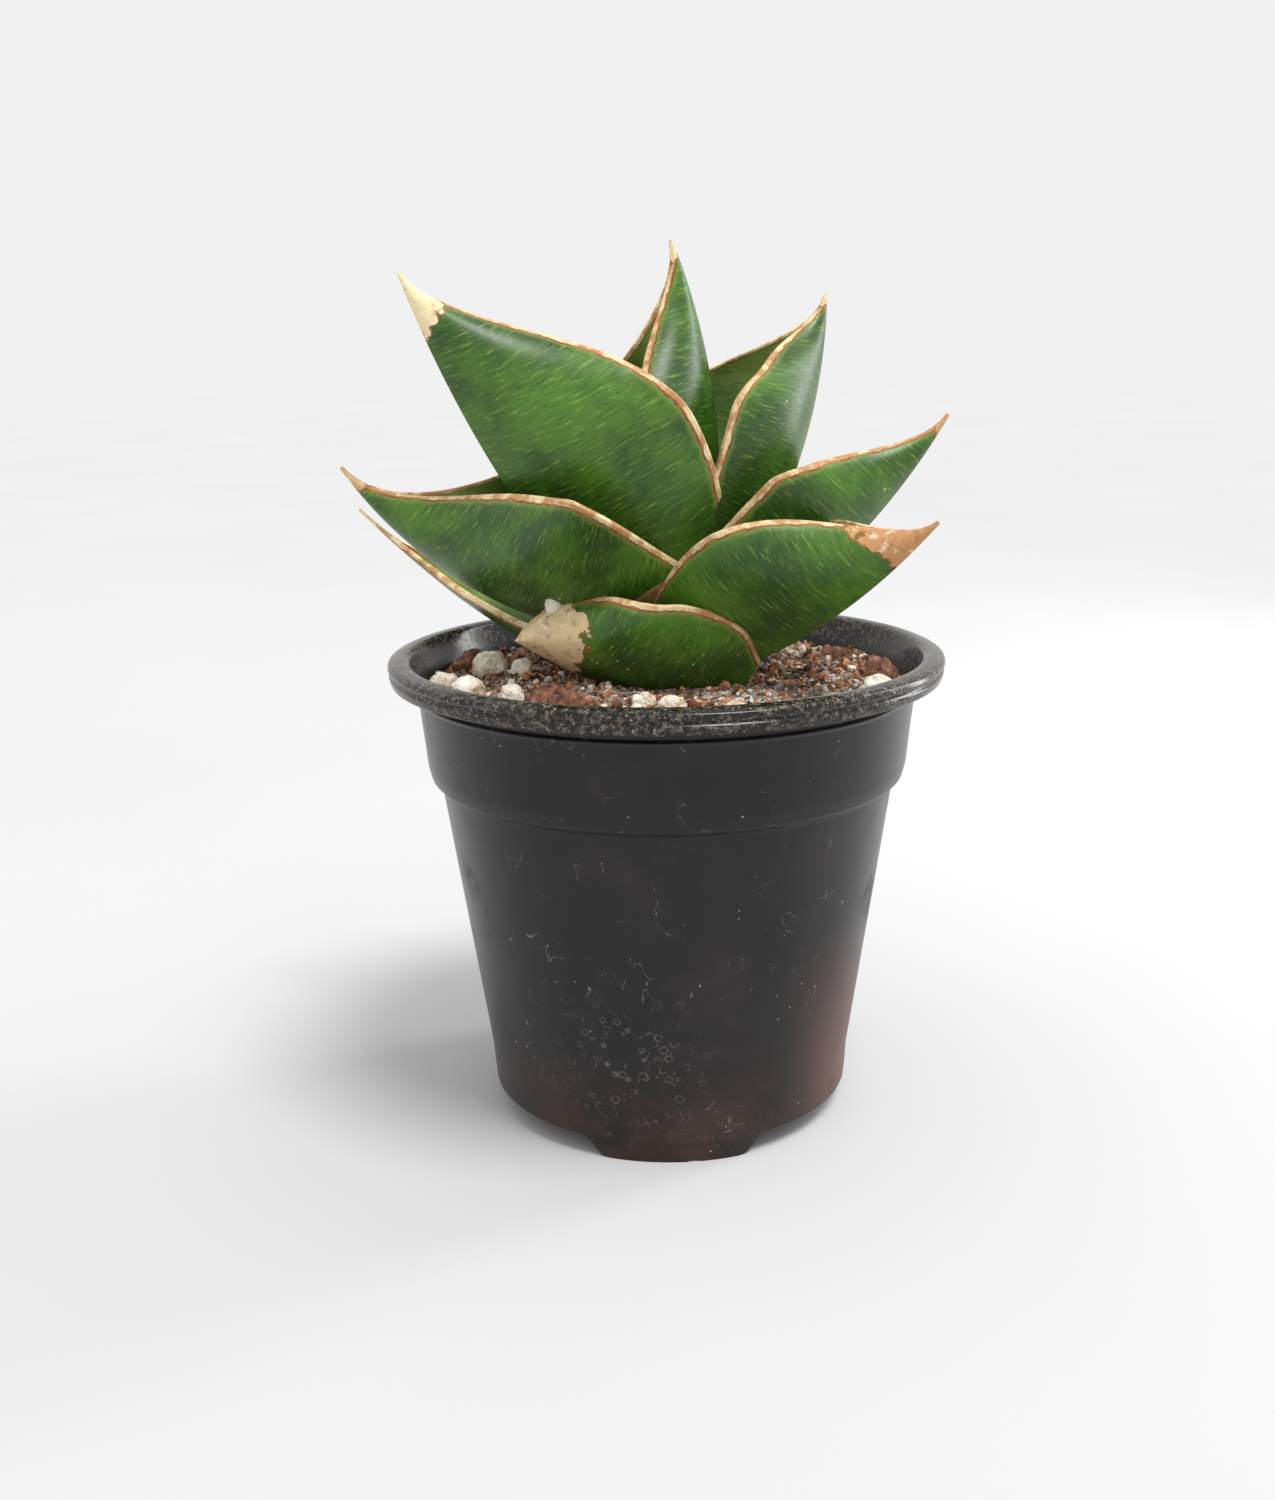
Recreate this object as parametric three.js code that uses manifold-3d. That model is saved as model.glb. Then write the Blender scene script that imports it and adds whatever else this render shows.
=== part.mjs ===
// A dwarf boat-leaved snake plant: eight thick keeled leaves in two opposite ranks, clasping one
// another at a short stem, in a black thin-walled nursery pot filled with gritty soil.
// Millimetres, +Z up. The pot stands on z = 0, and the origin lies under the middle of the
// whole outline, so the pot's axis is a little to the right of it.
import * as THREE from "three";
import { mergeVertices } from "three/addons/utils/BufferGeometryUtils.js";
import Module from "manifold-3d";

const wasm = await Module();
wasm.setup();

const GAP = 0.3; // clearance left where two pieces touch
const POT_SEGMENTS = 40;

// Pot: a tapered body, a stepped-out collar and a rolled rim.
const RIM_RADIUS = 52.5;
const RIM_INNER_RADIUS = 48.3;
const POT_HEIGHT = 89.3;
const WALL = 1.2;
const COLLAR_TOP_RADIUS = 47.0;
const COLLAR_TOP = 82.0;
const COLLAR_FOOT_RADIUS = 45.7;
const COLLAR_FOOT = 69.0;
const BODY_TOP_RADIUS = 43.3;
const BODY_TOP = 65.2;
const BODY_FOOT_RADIUS = 35.0;
const BODY_FOOT = 4.0;
const FLOOR_TOP = 6.6;
const FLOOR_BOTTOM = 5.2;
const FEET = 3;
const FOOT_SPREAD_TOP = 30; // degrees to each side of its middle
const FOOT_SPREAD_SOLE = 21;
const FOOT_OUTER_RADIUS = 34.6;
const FOOT_INNER_RADIUS = 32.4;
const DRAIN_RADIUS = 3.6;
const DRAIN_CIRCLE = 24;
const DRAINS = 6;

// Soil: a filled body up to a few millimetres below the rim.
const SOIL_LEVEL = 85.0;
const SOIL_DROP = 2.2; // how far the soil falls off towards the wall
const SOIL_RINGS = 6;
const SOIL_SEGMENTS = 28;
const GRAINS = 14;
const SOIL_CLEARANCE = 25; // height of the room kept free of soil inside each leaf
const LEAVES_IN_SOIL = 3; // the outermost leaves, whose bases stand in the soil

// Stem: the short stock under the lowest leaves.
const STEM_RADIUS = 8.5;
const STEM_TOP = 80;
const STEM_FOOT = 58;

// Leaf build: stations along the leaf and points from the keel to each margin.
const LEAF_STATIONS = 12;
const HALF_POINTS = 4;
const MARGIN_THICKNESS = 1.3;
const KEEL_THICKNESS = 5.0;
const TIP_HALF_WIDTH = 0.5;
const CLASP_REACH = 0.4; // share of the length over which the base clasps inwards

// Each leaf, from the outermost inwards. base: keel point where it leaves the stem; azimuth: the
// way it points, turning by swing towards the tip; rise: angle above level at base and tip;
// half: keel-to-margin width round the curve; widest, baseShare, taper, point: its outline;
// fold: side angle at keel and margin; clasp: extra curl at the base; roll: turn about its length;
// close: where the blade starts to roll shut into its round tip; ruffle: waves of a dried margin;
// holds: how far beyond its right and left outer face no inner leaf may stand out.
const LEAVES = [
  {
    name: "leaf_left_back_low", base: [5.1, -1.8, 77.9], azimuth: 143, swing: -0, rise: [7, 34],
    length: 95.2, half: 17.3, widest: 0.21, baseShare: 0.9, taper: 1, point: 1.46,
    fold: [21, 72], clasp: 15, roll: 13, close: 0.62, ruffle: 0, holds: [0, 0],
  },
  {
    name: "leaf_front_left_short", base: [4.7, -0.2, 75.5], azimuth: 203, swing: 1, rise: [22, 33],
    length: 39.6, half: 30, widest: 0.26, baseShare: 0.81, taper: 2.08, point: 0.63,
    fold: [5, 81], clasp: -11, roll: -2, close: 0.69, ruffle: 1.2, holds: [0, 14],
  },
  {
    name: "leaf_right_front_low", base: [1.1, -2.2, 81.5], azimuth: -36, swing: -1, rise: [17, 48],
    length: 65.4, half: 26.2, widest: 0.47, baseShare: 0.56, taper: 1.99, point: 1.52,
    fold: [23, 79], clasp: 17, roll: 7, close: 0.5, ruffle: 0, holds: [14, 0],
  },
  {
    name: "leaf_left_middle", base: [4.4, 1.5, 90], azimuth: 179, swing: 6, rise: [-1, 57],
    length: 75.9, half: 39.5, widest: 0.43, baseShare: 0.56, taper: 1.45, point: 1.63,
    fold: [23, 78], clasp: 16, roll: 9, close: 0.44, ruffle: 0, holds: [14, 14],
  },
  {
    name: "leaf_right_middle", base: [-1.3, 0.5, 82.7], azimuth: 3, swing: -1, rise: [24, 60],
    length: 74.7, half: 25.1, widest: 0.56, baseShare: 0.63, taper: 1.55, point: 1.59,
    fold: [23, 81], clasp: 13, roll: 8, close: 0.63, ruffle: 0, holds: [14, 0],
  },
  {
    name: "leaf_right_upper", base: [0.2, 4, 83.3], azimuth: 19, swing: -2, rise: [40, 90],
    length: 80.7, half: 28.7, widest: 0.66, baseShare: 0.52, taper: 1.96, point: 1.68,
    fold: [26, 91], clasp: 18, roll: -5, close: 0.78, ruffle: 0, holds: [14, 14],
  },
  {
    name: "leaf_left_upper", base: [-0.9, 0, 84.3], azimuth: 197, swing: 3, rise: [45, 70],
    length: 87.8, half: 37.8, widest: 0.49, baseShare: 0.53, taper: 1.85, point: 1.42,
    fold: [25, 82], clasp: 14, roll: -3, close: 0.54, ruffle: 0, holds: [14, 14],
  },
  {
    name: "leaf_centre_upright", base: [4.5, 1.6, 82.7], azimuth: 18, swing: 5, rise: [70, 114],
    length: 82.9, half: 28, widest: 0.57, baseShare: 0.7, taper: 1.62, point: 1.47,
    fold: [26, 84], clasp: 15, roll: -0, close: 0.62, ruffle: 0, holds: [0, 0],
  },
];

const radians = THREE.MathUtils.degToRad;
const clamp = THREE.MathUtils.clamp;
const lerp = THREE.MathUtils.lerp;

// A closed solid from its corner points and triangles.
function solidFrom(geometry) {
  const bare = geometry.clone();
  bare.deleteAttribute("normal");
  bare.deleteAttribute("uv");
  const merged = mergeVertices(bare, 1e-4);
  const vertProperties = new Float32Array(merged.attributes.position.array);
  const triVerts = new Uint32Array(merged.index.array);
  return new wasm.Manifold(new wasm.Mesh({ numProp: 3, vertProperties, triVerts }));
}

function geometryFrom(points, triangles) {
  const geometry = new THREE.BufferGeometry();
  geometry.setAttribute("position", new THREE.Float32BufferAttribute(points, 3));
  geometry.setIndex(triangles);
  return geometry;
}

// The biggest body of a cut solid; loose scraps fall away.
function largest(solid) {
  const bodies = solid.decompose();
  return bodies.reduce((best, body) => (body.volume() > best.volume() ? body : best));
}

function meshOf(name, solid, material) {
  const { vertProperties, triVerts } = solid.getMesh();
  const geometry = geometryFrom(Array.from(vertProperties), Array.from(triVerts));
  geometry.computeVertexNormals();
  const mesh = new THREE.Mesh(geometry, material);
  mesh.name = name;
  return mesh;
}

// Repeatable draws for the stones and grains.
function seededDraws(seed) {
  let state = seed;
  return () => {
    state = (state * 1664525 + 1013904223) % 4294967296;
    return state / 4294967296;
  };
}

// A skin over equal closed rings of points. Point 0 and the middle point are the rings' two lips,
// and the ends are shut by joining the points on both sides of them in pairs.
function loftRings(rings) {
  const count = rings[0].length;
  const points = rings.flat().flatMap((point) => [point.x, point.y, point.z]);
  const triangles = [];
  for (let row = 0; row < rings.length - 1; row += 1) {
    for (let i = 0; i < count; i += 1) {
      const a = row * count + i;
      const b = row * count + ((i + 1) % count);
      triangles.push(a, b, b + count, a, b + count, a + count);
    }
  }
  const last = (rings.length - 1) * count;
  const far = count / 2;
  triangles.push(0, count - 1, 1, last, last + 1, last + count - 1);
  triangles.push(far, far - 1, far + 1, last + far, last + far + 1, last + far - 1);
  for (let i = 1; i < far - 1; i += 1) {
    const j = count - i;
    triangles.push(i, j, j - 1, i, j - 1, i + 1);
    triangles.push(last + i, last + j - 1, last + j, last + i, last + i + 1, last + j - 1);
  }
  return geometryFrom(points, triangles);
}

// --- leaves ---

function halfWidthAt(leaf, t) {
  if (t < leaf.widest) {
    const swell = Math.sin((Math.PI / 2) * (t / leaf.widest));
    return leaf.half * (leaf.baseShare + (1 - leaf.baseShare) * swell) + TIP_HALF_WIDTH;
  }
  const s = (t - leaf.widest) / (1 - leaf.widest);
  return leaf.half * (1 - s ** leaf.taper) ** leaf.point + TIP_HALF_WIDTH;
}

function closingAt(leaf, t) {
  return THREE.MathUtils.smoothstep(t, leaf.close, 0.97);
}

// The keel's direction, the way up out of the blade, and the sideways direction at share t.
function frameAt(leaf, t) {
  const rise = radians(lerp(leaf.rise[0], leaf.rise[1], t));
  const azimuth = radians(leaf.azimuth + leaf.swing * t);
  const along = new THREE.Vector3(
    Math.cos(rise) * Math.cos(azimuth),
    Math.cos(rise) * Math.sin(azimuth),
    Math.sin(rise),
  );
  const up = new THREE.Vector3(
    -Math.sin(rise) * Math.cos(azimuth),
    -Math.sin(rise) * Math.sin(azimuth),
    Math.cos(rise),
  );
  up.applyAxisAngle(along, radians(-leaf.roll));
  const side = new THREE.Vector3().crossVectors(up, along);
  return { along, up, side };
}

function keelPoints(leaf) {
  const points = [new THREE.Vector3(...leaf.base)];
  const step = 1 / (LEAF_STATIONS - 1);
  for (let k = 1; k < LEAF_STATIONS; k += 1) {
    const { along } = frameAt(leaf, (k - 0.5) * step);
    points.push(points[k - 1].clone().addScaledVector(along, leaf.length * step));
  }
  return points;
}

// One flank of the cross-section from keel to margin: outer points and matching inner ones.
// grow thickens the leaf on both faces, reach moves the outer face further out still, and fill
// replaces the inner face by a lid this far above the margins.
function flankAt(leaf, t, { grow, reach, fill }) {
  const half = halfWidthAt(leaf, t);
  const closing = closingAt(leaf, t);
  const clasp = leaf.clasp * clamp(1 - t / CLASP_REACH, 0, 1) ** 1.5;
  const open = leaf.fold[1] + clasp;
  const marginAngle = radians(lerp(open, 172 - leaf.fold[0], closing));
  const keelAngle = radians(leaf.fold[0]);
  const keelThickness = Math.min(KEEL_THICKNESS, 0.3 * half);
  const marginThickness = Math.min(MARGIN_THICKNESS, 0.25 * half);
  const outer = [];
  const inner = [];
  const at = { x: 0, y: 0 };
  const step = half / HALF_POINTS;
  for (let i = 0; i <= HALF_POINTS; i += 1) {
    const u = i / HALF_POINTS;
    const angle = lerp(keelAngle, marginAngle, u);
    if (i > 0) {
      const middle = lerp(keelAngle, marginAngle, u - 0.5 / HALF_POINTS);
      at.x += step * Math.cos(middle);
      at.y += step * Math.sin(middle);
    }
    const thickness = lerp(keelThickness, marginThickness, u * u);
    const outward = grow + reach * (1 - THREE.MathUtils.smoothstep(t, 0.3, 0.6));
    const outerAngle = i === 0 ? 0 : angle;
    outer.push({
      x: i === 0 ? 0 : Math.max(at.x + outward * Math.sin(outerAngle), 0.15 + grow),
      y: at.y - outward * Math.cos(outerAngle),
    });
    inner.push({
      x: i === 0 ? 0 : Math.max(at.x - thickness * Math.sin(angle), 0.35 * at.x, 0.1),
      y: at.y + thickness * Math.cos(angle),
      inward: angle,
    });
  }
  const rim = { x: inner[HALF_POINTS].x, y: inner[HALF_POINTS].y + fill };
  const shut = fill > 0 ? 1 : closing;
  inner.forEach((point, i) => {
    const openX = i === 0 ? 0 : Math.max(point.x - grow * Math.sin(point.inward), 0.1);
    point.x = lerp(openX, rim.x * (i / HALF_POINTS), shut);
    point.y = lerp(point.y + grow * Math.cos(point.inward), rim.y + grow, shut);
  });
  const edge = outer[HALF_POINTS];
  const top = inner[HALF_POINTS];
  const lip = {
    x: Math.max((edge.x + top.x) / 2 + (0.3 + grow) * Math.cos(marginAngle), 0.12),
    y: (edge.y + top.y) / 2 + (0.3 + grow) * Math.max(Math.sin(marginAngle), closing),
  };
  return { outer, inner, lip };
}

function leafRing(leaf, t, keel, fit) {
  const { up, side } = frameAt(leaf, t);
  const right = flankAt(leaf, t, { ...fit, reach: fit.reach[0] });
  const left = flankAt(leaf, t, { ...fit, reach: fit.reach[1] });
  const wave = leaf.ruffle * Math.sin(9 * Math.PI * t) * THREE.MathUtils.smoothstep(t, 0.4, 0.8);
  const place = (point, sign, u) =>
    keel
      .clone()
      .addScaledVector(side, sign * point.x)
      .addScaledVector(up, point.y + wave * u * u * (1 - t));
  const share = (i) => i / HALF_POINTS;
  const ring = [place(right.lip, -1, 1)];
  for (let i = HALF_POINTS; i > 0; i -= 1) {
    ring.push(place(right.outer[i], -1, share(i)));
  }
  left.outer.forEach((point, i) => ring.push(place(point, 1, share(i))));
  ring.push(place(left.lip, 1, 1));
  for (let i = HALF_POINTS; i > 0; i -= 1) {
    ring.push(place(left.inner[i], 1, share(i)));
  }
  right.inner.forEach((point, i) => ring.push(place(point, -1, share(i))));
  return ring;
}

// The whole leaf, or a fatter copy of it that cuts room for it.
function leafSolid(leaf, { grow = 0, reach = [0, 0], fill = 0 } = {}) {
  const rings = keelPoints(leaf).map((keel, k) =>
    leafRing(leaf, k / (LEAF_STATIONS - 1), keel, { grow, reach, fill }),
  );
  if (grow > 0) {
    const first = frameAt(leaf, 0).along;
    const end = frameAt(leaf, 1).along;
    rings[0].forEach((point) => point.addScaledVector(first, -grow));
    rings[rings.length - 1].forEach((point) => point.addScaledVector(end, grow));
  }
  return solidFrom(loftRings(rings));
}

// Every leaf, cut clear of each leaf that clasps it from outside.
function nestedLeaves() {
  return LEAVES.map((leaf, order) => {
    const outside = LEAVES.slice(0, order);
    const cut = outside.reduce(
      (solid, other) =>
        solid
          .subtract(leafSolid(other, { grow: GAP }))
          .subtract(leafSolid(other, { grow: GAP, reach: other.holds })),
      leafSolid(leaf),
    );
    return { leaf, solid: largest(cut) };
  });
}

function leafMaterial() {
  return new THREE.MeshStandardMaterial({ color: "#4f7a3c", roughness: 0.42, metalness: 0 });
}

// --- pot ---

function turned(profile, segments) {
  const points = profile.map(([radius, z]) => new THREE.Vector2(radius, z));
  const geometry = new THREE.LatheGeometry(points, segments);
  geometry.rotateX(Math.PI / 2);
  return solidFrom(geometry);
}

function potProfile() {
  return [
    [0, FLOOR_BOTTOM],
    [BODY_FOOT_RADIUS - WALL - 1, FLOOR_BOTTOM],
    [BODY_FOOT_RADIUS - WALL, BODY_FOOT],
    [BODY_FOOT_RADIUS, BODY_FOOT],
    [BODY_FOOT_RADIUS + 0.5, BODY_FOOT + 7],
    [BODY_TOP_RADIUS, BODY_TOP],
    [COLLAR_FOOT_RADIUS - 0.6, COLLAR_FOOT - 2.4],
    [COLLAR_FOOT_RADIUS, COLLAR_FOOT],
    [COLLAR_TOP_RADIUS, COLLAR_TOP],
    [COLLAR_TOP_RADIUS + 0.6, COLLAR_TOP + 0.6],
    [COLLAR_TOP_RADIUS, COLLAR_TOP + 1.2],
    [COLLAR_TOP_RADIUS + 0.2, COLLAR_TOP + 2.9],
    [RIM_RADIUS - 0.6, COLLAR_TOP + 3],
    [RIM_RADIUS - 0.2, COLLAR_TOP + 4.6],
    [RIM_RADIUS - 0.7, COLLAR_TOP + 5],
    [RIM_RADIUS, COLLAR_TOP + 5.9],
    [RIM_RADIUS - 1.2, POT_HEIGHT - 0.2],
    [RIM_RADIUS - 2.4, POT_HEIGHT],
    [RIM_INNER_RADIUS, POT_HEIGHT - 0.6],
    ...potInside(),
    [0, FLOOR_TOP],
  ];
}

// The inner wall from the rim down to the floor.
function potInside(gap = 0) {
  return [
    [RIM_INNER_RADIUS - 0.9 - gap, COLLAR_TOP + 4],
    [COLLAR_TOP_RADIUS - WALL - gap, COLLAR_TOP],
    [COLLAR_FOOT_RADIUS - WALL - gap, COLLAR_FOOT],
    [BODY_TOP_RADIUS - WALL - gap, BODY_TOP - 0.4],
    [BODY_FOOT_RADIUS + 0.5 - WALL - gap, BODY_FOOT + 7],
    [BODY_FOOT_RADIUS + 0.2 - WALL - gap, FLOOR_TOP + gap],
  ];
}

function footSolid(middle) {
  const steps = 6;
  const rings = [];
  for (let k = 0; k <= steps; k += 1) {
    const share = (2 * k) / steps - 1;
    const top = radians(middle + share * FOOT_SPREAD_TOP);
    const sole = radians(middle + share * FOOT_SPREAD_SOLE);
    const corner = (radius, angle, z) =>
      new THREE.Vector3(radius * Math.cos(angle), radius * Math.sin(angle), z);
    rings.push([
      corner((FOOT_INNER_RADIUS + FOOT_OUTER_RADIUS) / 2, sole, 0),
      corner(FOOT_INNER_RADIUS, sole, 0),
      corner(FOOT_INNER_RADIUS, top, FLOOR_BOTTOM + 0.6),
      corner((FOOT_INNER_RADIUS + FOOT_OUTER_RADIUS) / 2, top, FLOOR_BOTTOM + 0.6),
      corner(FOOT_OUTER_RADIUS, top, BODY_FOOT + 0.6),
      corner(FOOT_OUTER_RADIUS, sole, 0),
    ]);
  }
  return solidFrom(loftRings(rings));
}

function drainCutter(radius, angle) {
  const geometry = new THREE.CylinderGeometry(DRAIN_RADIUS, DRAIN_RADIUS, 8, 10);
  geometry.rotateX(Math.PI / 2);
  geometry.translate(radius * Math.cos(angle), radius * Math.sin(angle), FLOOR_TOP);
  return solidFrom(geometry);
}

function potSolid() {
  let pot = turned(potProfile(), POT_SEGMENTS);
  for (let k = 0; k < FEET; k += 1) {
    pot = pot.add(footSolid(-90 + (360 * k) / FEET));
  }
  for (let k = 0; k < DRAINS; k += 1) {
    pot = pot.subtract(drainCutter(DRAIN_CIRCLE, (2 * Math.PI * (k + 0.5)) / DRAINS));
  }
  return pot;
}

function potMaterial() {
  return new THREE.MeshStandardMaterial({ color: "#232022", roughness: 0.38, metalness: 0 });
}

// --- stem ---

function stemSolid(grow = 0) {
  const profile = [
    [0, STEM_FOOT - grow],
    [STEM_RADIUS * 0.6, STEM_FOOT - grow],
    [STEM_RADIUS + grow, STEM_FOOT + 4],
    [STEM_RADIUS + grow, STEM_TOP - 6],
    [STEM_RADIUS * 0.7, STEM_TOP + grow],
    [0, STEM_TOP + grow],
  ];
  return turned(profile, 12);
}

function stemMaterial() {
  return new THREE.MeshStandardMaterial({ color: "#8a7450", roughness: 0.8, metalness: 0 });
}

// --- soil, with its grit, stones and bark ---

function soilHeight(x, y) {
  const spread = Math.min(Math.hypot(x, y) / RIM_INNER_RADIUS, 1);
  const mounds =
    0.6 * Math.sin(0.21 * x + 1.3) * Math.cos(0.17 * y) + 0.4 * Math.sin(0.43 * y + 0.31 * x);
  return SOIL_LEVEL - SOIL_DROP * spread * spread + mounds;
}

function soilBody() {
  const inside = potInside(GAP).slice(1);
  const rows = [];
  for (let ring = 1; ring <= SOIL_RINGS; ring += 1) {
    const share = ring / SOIL_RINGS;
    rows.push({ radius: share * (COLLAR_TOP_RADIUS - WALL - GAP), z: null });
  }
  inside.forEach(([radius, z]) => rows.push({ radius, z: z - 0.6 * (z === COLLAR_TOP) }));
  const points = [0, 0, soilHeight(0, 0)];
  rows.forEach(({ radius, z }) => {
    for (let k = 0; k < SOIL_SEGMENTS; k += 1) {
      const angle = (2 * Math.PI * k) / SOIL_SEGMENTS;
      const x = radius * Math.cos(angle);
      const y = radius * Math.sin(angle);
      points.push(x, y, z === null ? soilHeight(x, y) : z);
    }
  });
  points.push(0, 0, FLOOR_TOP + GAP);
  const triangles = [];
  const bottom = points.length / 3 - 1;
  for (let k = 0; k < SOIL_SEGMENTS; k += 1) {
    const next = (k + 1) % SOIL_SEGMENTS;
    triangles.push(0, 1 + k, 1 + next);
    for (let row = 0; row < rows.length - 1; row += 1) {
      const a = 1 + row * SOIL_SEGMENTS + k;
      const b = 1 + row * SOIL_SEGMENTS + next;
      triangles.push(a, a + SOIL_SEGMENTS, b + SOIL_SEGMENTS, a, b + SOIL_SEGMENTS, b);
    }
    const last = 1 + (rows.length - 1) * SOIL_SEGMENTS;
    triangles.push(last + k, bottom, last + next);
  }
  return solidFrom(geometryFrom(points, triangles));
}

// Stones seen on the soil: distance and direction from the stem, width and height.
const WHITE_STONES = [
  { at: [42, 187], width: 7, height: 5 },
  { at: [39.5, 202], width: 7.5, height: 5 },
  { at: [34, 174], width: 8.5, height: 7 },
  { at: [33.5, 213], width: 5.5, height: 4.5 },
  { at: [27.5, 181], width: 5, height: 5 },
  { at: [27, 261], width: 4.5, height: 3.6 },
  { at: [30, 271], width: 5, height: 3.6 },
  { at: [35, 289], width: 4.5, height: 3.4 },
  { at: [41, 339], width: 7.5, height: 5 },
  { at: [38, 62], width: 6.5, height: 5 },
  { at: [33, 96], width: 5, height: 4 },
  { at: [41, 128], width: 7.5, height: 5.5 },
];
const BARK_CHIPS = [
  { at: [28.5, 222], length: 8, width: 4.5, thick: 2.2, turn: 30 },
  { at: [33, 239], length: 8.5, width: 5, thick: 2.4, turn: 115 },
  { at: [41, 160], length: 10, width: 5, thick: 2.4, turn: 70 },
  { at: [41, 2], length: 9, width: 5, thick: 2.4, turn: 80 },
  { at: [38, 26], length: 9, width: 6, thick: 2.2, turn: 20 },
  { at: [36, 80], length: 9, width: 5, thick: 2.2, turn: 150 },
  { at: [38, 110], length: 8, width: 5, thick: 2.2, turn: 40 },
];
const STONE_SINK = 0.3; // share of its height that a stone lies sunk in the soil

function onSoil([distance, direction]) {
  const x = distance * Math.cos(radians(direction));
  const y = distance * Math.sin(radians(direction));
  return new THREE.Vector3(x, y, soilHeight(x, y));
}

// A rough lump: a subdivided icosahedron with its corners drawn in and out.
function lump(detail, size, roughness, draw) {
  const geometry = new THREE.IcosahedronGeometry(0.5, detail);
  geometry.deleteAttribute("normal");
  geometry.deleteAttribute("uv");
  const merged = mergeVertices(geometry, 1e-4);
  const position = merged.attributes.position;
  for (let i = 0; i < position.count; i += 1) {
    const scale = 1 - roughness * draw();
    position.setXYZ(i, position.getX(i) * scale, position.getY(i) * scale, position.getZ(i) * scale);
  }
  merged.scale(...size);
  merged.rotateZ(draw() * Math.PI * 2);
  return merged;
}

function stoneMesh(stone, index) {
  const draw = seededDraws(101 + index);
  const geometry = lump(1, [stone.width, stone.width * 0.82, stone.height], 0.2, draw);
  const mesh = new THREE.Mesh(geometry, stoneMaterial());
  mesh.name = `stone_white_${String(index + 1).padStart(2, "0")}`;
  mesh.position.copy(onSoil(stone.at));
  mesh.position.z += stone.height * (0.5 - STONE_SINK);
  return mesh;
}

function stoneMaterial() {
  return new THREE.MeshStandardMaterial({ color: "#e9e2d4", roughness: 0.9, metalness: 0 });
}

function chipMaterial() {
  return new THREE.MeshStandardMaterial({ color: "#7a4f3e", roughness: 0.9, metalness: 0 });
}

function soilMaterial() {
  return new THREE.MeshStandardMaterial({ color: "#6d5546", roughness: 0.95, metalness: 0 });
}

function chipMesh(chip, index) {
  const draw = seededDraws(301 + index);
  const shape = new THREE.Shape();
  const corners = 7;
  for (let k = 0; k < corners; k += 1) {
    const angle = (2 * Math.PI * (k + 0.4 * draw())) / corners;
    const reach = 0.85 + 0.3 * draw();
    const x = (chip.length / 2) * reach * Math.cos(angle);
    const y = (chip.width / 2) * reach * Math.sin(angle);
    if (k === 0) shape.moveTo(x, y);
    else shape.lineTo(x, y);
  }
  const bevel = 0.5;
  const geometry = new THREE.ExtrudeGeometry(shape, {
    depth: chip.thick - 2 * bevel,
    bevelSize: bevel,
    bevelThickness: bevel,
    bevelSegments: 1,
  });
  const mesh = new THREE.Mesh(geometry, chipMaterial());
  mesh.name = `bark_chip_${index + 1}`;
  mesh.rotation.set(radians(10 * (draw() - 0.5)), 0, radians(chip.turn));
  mesh.position.copy(onSoil(chip.at));
  mesh.position.z -= chip.thick * STONE_SINK;
  return mesh;
}

// A copy of a small piece, moved out by the gap all round, that presses its own seat.
function seatCutter(mesh) {
  mesh.updateMatrix();
  const fat = mesh.geometry.clone().applyMatrix4(mesh.matrix);
  fat.computeBoundingBox();
  const middle = fat.boundingBox.getCenter(new THREE.Vector3());
  const size = fat.boundingBox.getSize(new THREE.Vector3());
  fat.translate(-middle.x, -middle.y, -middle.z);
  const grown = (length) => (length + 2.6 * GAP) / length;
  fat.scale(grown(size.x), grown(size.y), grown(size.z));
  fat.translate(middle.x, middle.y, middle.z);
  return solidFrom(fat);
}

function soilSolid(pieces) {
  const draw = seededDraws(7);
  let soil = soilBody();
  for (let k = 0; k < GRAINS; k += 1) {
    const distance = 20 + 23.5 * Math.sqrt(draw());
    const place = onSoil([distance, 360 * draw()]);
    const size = 1.6 + 2.2 * draw();
    const grain = lump(0, [size, size * 0.8, size * 0.7], 0.25, draw);
    grain.translate(place.x, place.y, place.z + 0.05 * size);
    soil = soil.add(solidFrom(grain));
  }
  pieces.forEach((piece) => {
    soil = soil.subtract(seatCutter(piece));
  });
  LEAVES.slice(0, LEAVES_IN_SOIL).forEach((leaf) => {
    soil = soil.subtract(leafSolid(leaf, { grow: GAP, fill: SOIL_CLEARANCE }));
  });
  return largest(soil.subtract(stemSolid(GAP)));
}

// --- the whole plant in its pot ---

function pottedPlant() {
  const group = new THREE.Group();
  const small = [...WHITE_STONES.map(stoneMesh), ...BARK_CHIPS.map(chipMesh)];
  const leaves = nestedLeaves();
  const room = (solid, leaf) => solid.subtract(leafSolid(leaf, { grow: GAP }));
  group.add(meshOf("pot", potSolid(), potMaterial()));
  group.add(meshOf("soil", soilSolid(small), soilMaterial()));
  group.add(meshOf("stem", largest(LEAVES.reduce(room, stemSolid())), stemMaterial()));
  leaves.forEach(({ leaf, solid }) => group.add(meshOf(leaf.name, solid, leafMaterial())));
  group.add(...small);
  const middle = new THREE.Box3().setFromObject(group).getCenter(new THREE.Vector3());
  group.position.set(-middle.x, -middle.y, 0);
  return group;
}

export default pottedPlant();
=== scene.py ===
import math
import random

import bmesh
import bpy
from mathutils import Matrix, Vector, noise
from mathutils.bvhtree import BVHTree


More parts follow.
